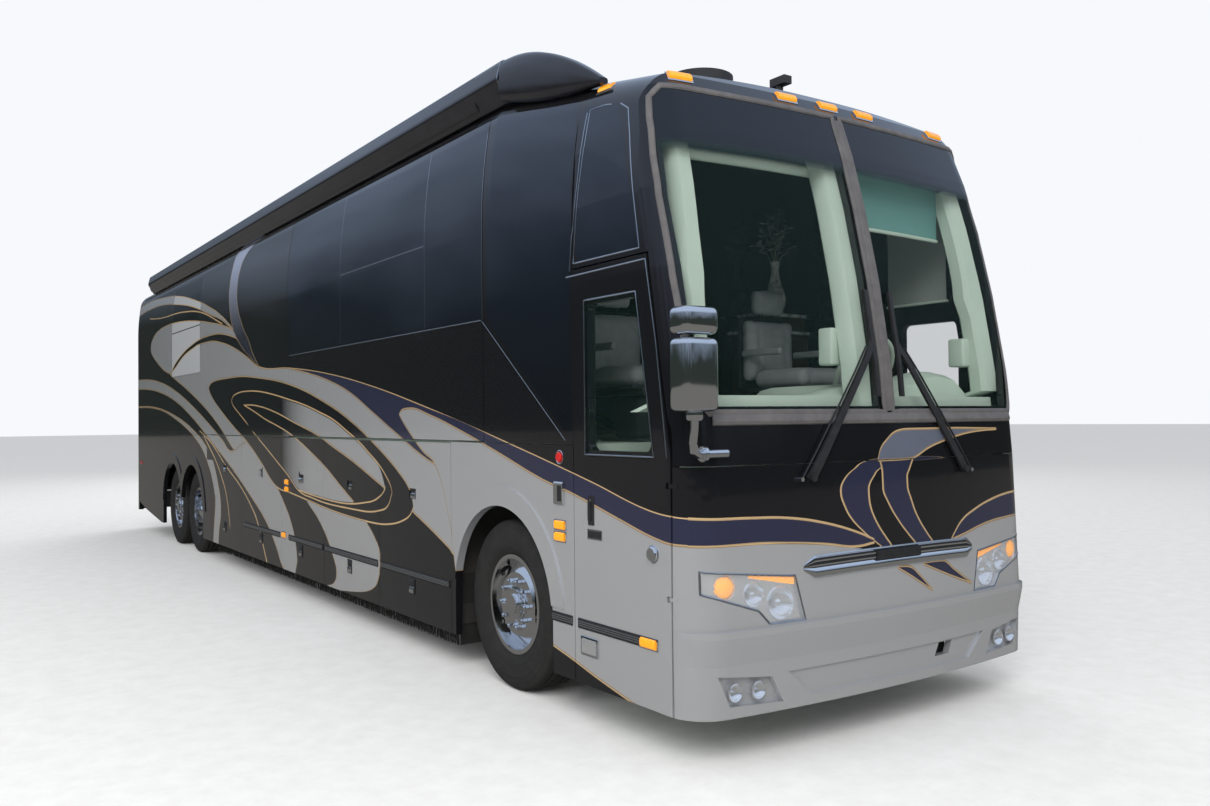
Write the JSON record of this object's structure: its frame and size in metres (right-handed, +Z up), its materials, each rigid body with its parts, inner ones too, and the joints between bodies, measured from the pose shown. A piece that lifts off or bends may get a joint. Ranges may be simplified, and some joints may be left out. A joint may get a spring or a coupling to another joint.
{
  "type": "slide-out motorhome coach",
  "caption": "Large touring motorhome coach with slide-out rooms, entry door, luggage bays, steered front wheels and paired rear axles.",
  "frame": {"origin": "on the ground under the middle of the coach", "axes": "+X forward, +Y to the driver's (left) side, +Z up"},
  "size_m": [13.7198, 2.818, 3.826],
  "materials": {
    "paint": "gloss two-tone with swirl stripes",
    "chassis_black": "satin black",
    "cast_black": "painted casting",
    "dark_glass": "dark tint",
    "clear_glass": "light green tint",
    "lamp_lens": "clear lens",
    "red_lens": "red lens",
    "tyre": "matt rubber",
    "polished_alloy": "polished",
    "chrome": "polished",
    "black_plastic": "satin",
    "cabin_lining": "pale green grey",
    "leather": "grey",
    "wood": "dark veneer",
    "awning_case": "gloss black"
  },
  "bodies": {
    "coach_body": {"chassis_frame": "chassis_black", "bay_bulkheads": "chassis_black", "bay_floor": "chassis_black", "cabin_floor": "cabin_lining", "roof": "paint", "right_wall": "paint", "left_wall": "paint", "front_cap": "paint", "front_mask": "paint", "front_bumper": "paint", "rear_cap": "paint", "rear_bumper": "paint", "front_fenders": "paint", "rear_fenders": "paint", "windshields": "clear_glass", "side_windows": "dark_glass", "headlamps": "lamp_lens", "tail_lamps": "red_lens", "roof_awnings": "awning_case", "roof_units": "black_plastic", "side_mirrors": "chrome", "engine": "cast_black", "rear_axles": "cast_black", "front_axle": "cast_black", "dashboard": "cabin_lining", "cab_seats": "leather", "wipers": "black_plastic", "cabinets": "wood"},
    "right_knuckle": {"right_knuckle": "cast_black"},
    "front_right_wheel": {"front_right_tyre": "tyre", "front_right_rim": "polished_alloy"},
    "tag_right_wheel": {"tag_right_tyre": "tyre", "tag_right_rim": "polished_alloy"},
    "drive_right_wheels": {"drive_right_tyres": "tyre", "drive_right_rims": "polished_alloy"},
    "left_knuckle": {"left_knuckle": "cast_black"},
    "front_left_wheel": {"front_left_tyre": "tyre", "front_left_rim": "polished_alloy"},
    "tag_left_wheel": {"tag_left_tyre": "tyre", "tag_left_rim": "polished_alloy"},
    "drive_left_wheels": {"drive_left_tyres": "tyre", "drive_left_rims": "polished_alloy"},
    "entry_door": {"entry_door": "paint", "entry_door_glass": "clear_glass"},
    "right_slideout": {"right_slideout": "paint", "right_slideout_glass": "dark_glass"},
    "left_slideout": {"left_slideout": "paint", "left_slideout_glass": "dark_glass"},
    "engine_door": {"engine_door": "paint"},
    "right_bay_door_1": {"right_bay_door_1": "paint"},
    "right_bay_door_2": {"right_bay_door_2": "paint"},
    "right_bay_door_3": {"right_bay_door_3": "paint"},
    "right_bay_door_4": {"right_bay_door_4": "paint"},
    "right_bay_door_5": {"right_bay_door_5": "paint"},
    "left_bay_door_1": {"left_bay_door_1": "paint"},
    "left_bay_door_2": {"left_bay_door_2": "paint"},
    "left_bay_door_3": {"left_bay_door_3": "paint"},
    "left_bay_door_4": {"left_bay_door_4": "paint"},
    "left_bay_door_5": {"left_bay_door_5": "paint"}
  },
  "joints": [
    {"name": "right_steering", "type": "hinge", "parent": "coach_body", "child": "right_knuckle", "pos_m": [4.927, -0.88, 0.512], "axis": [0, 0, 1], "range_deg": [-42, 42]},
    {"name": "front_right_wheel_spin", "type": "hinge", "parent": "right_knuckle", "child": "front_right_wheel", "pos_m": [4.927, -1.078, 0.512], "axis": [0, 1, 0], "continuous": true},
    {"name": "tag_right_wheel_spin", "type": "hinge", "parent": "coach_body", "child": "tag_right_wheel", "pos_m": [-4.243, -1.078, 0.512], "axis": [0, 1, 0], "continuous": true},
    {"name": "drive_right_wheel_spin", "type": "hinge", "parent": "coach_body", "child": "drive_right_wheels", "pos_m": [-3.103, -0.9065, 0.512], "axis": [0, 1, 0], "continuous": true},
    {"name": "left_steering", "type": "hinge", "parent": "coach_body", "child": "left_knuckle", "pos_m": [4.927, 0.88, 0.512], "axis": [0, 0, 1], "range_deg": [-42, 42]},
    {"name": "front_left_wheel_spin", "type": "hinge", "parent": "left_knuckle", "child": "front_left_wheel", "pos_m": [4.927, 1.078, 0.512], "axis": [0, 1, 0], "continuous": true},
    {"name": "tag_left_wheel_spin", "type": "hinge", "parent": "coach_body", "child": "tag_left_wheel", "pos_m": [-4.243, 1.078, 0.512], "axis": [0, 1, 0], "continuous": true},
    {"name": "drive_left_wheel_spin", "type": "hinge", "parent": "coach_body", "child": "drive_left_wheels", "pos_m": [-3.103, 0.9065, 0.512], "axis": [0, 1, 0], "continuous": true},
    {"name": "entry_door_hinge", "type": "hinge", "parent": "coach_body", "child": "entry_door", "pos_m": [6.564, -1.283, 1], "axis": [0, 0, 1], "range_deg": [0, 85]},
    {"name": "right_slideout_travel", "type": "slide", "parent": "coach_body", "child": "right_slideout", "axis": [0, -1, 0], "range_m": [0, 0.53]},
    {"name": "left_slideout_travel", "type": "slide", "parent": "coach_body", "child": "left_slideout", "axis": [0, 1, 0], "range_m": [0, 0.53]},
    {"name": "engine_door_hinge", "type": "hinge", "parent": "coach_body", "child": "engine_door", "pos_m": [-6.848, 0, 1.54], "axis": [0, 1, 0], "range_deg": [0, 80]},
    {"name": "right_bay_door_1_hinge", "type": "hinge", "parent": "coach_body", "child": "right_bay_door_1", "pos_m": [-1.458, -1.283, 1.468], "axis": [1, 0, 0], "range_deg": [-80, 0]},
    {"name": "right_bay_door_2_hinge", "type": "hinge", "parent": "coach_body", "child": "right_bay_door_2", "pos_m": [-0.093, -1.283, 1.468], "axis": [1, 0, 0], "range_deg": [-80, 0]},
    {"name": "right_bay_door_3_hinge", "type": "hinge", "parent": "coach_body", "child": "right_bay_door_3", "pos_m": [1.207, -1.283, 1.468], "axis": [1, 0, 0], "range_deg": [-80, 0]},
    {"name": "right_bay_door_4_hinge", "type": "hinge", "parent": "coach_body", "child": "right_bay_door_4", "pos_m": [2.422, -1.283, 1.468], "axis": [1, 0, 0], "range_deg": [-80, 0]},
    {"name": "right_bay_door_5_hinge", "type": "hinge", "parent": "coach_body", "child": "right_bay_door_5", "pos_m": [3.652, -1.283, 1.468], "axis": [1, 0, 0], "range_deg": [-80, 0]},
    {"name": "left_bay_door_1_hinge", "type": "hinge", "parent": "coach_body", "child": "left_bay_door_1", "pos_m": [-1.458, 1.283, 1.468], "axis": [-1, 0, 0], "range_deg": [-80, 0]},
    {"name": "left_bay_door_2_hinge", "type": "hinge", "parent": "coach_body", "child": "left_bay_door_2", "pos_m": [-0.093, 1.283, 1.468], "axis": [-1, 0, 0], "range_deg": [-80, 0]},
    {"name": "left_bay_door_3_hinge", "type": "hinge", "parent": "coach_body", "child": "left_bay_door_3", "pos_m": [1.207, 1.283, 1.468], "axis": [-1, 0, 0], "range_deg": [-80, 0]},
    {"name": "left_bay_door_4_hinge", "type": "hinge", "parent": "coach_body", "child": "left_bay_door_4", "pos_m": [2.422, 1.283, 1.468], "axis": [-1, 0, 0], "range_deg": [-80, 0]},
    {"name": "left_bay_door_5_hinge", "type": "hinge", "parent": "coach_body", "child": "left_bay_door_5", "pos_m": [3.652, 1.283, 1.468], "axis": [-1, 0, 0], "range_deg": [-80, 0]}
  ],
  "couplings": [
    {"joint": "left_steering", "follows": "right_steering", "ratio": 1}
  ]
}
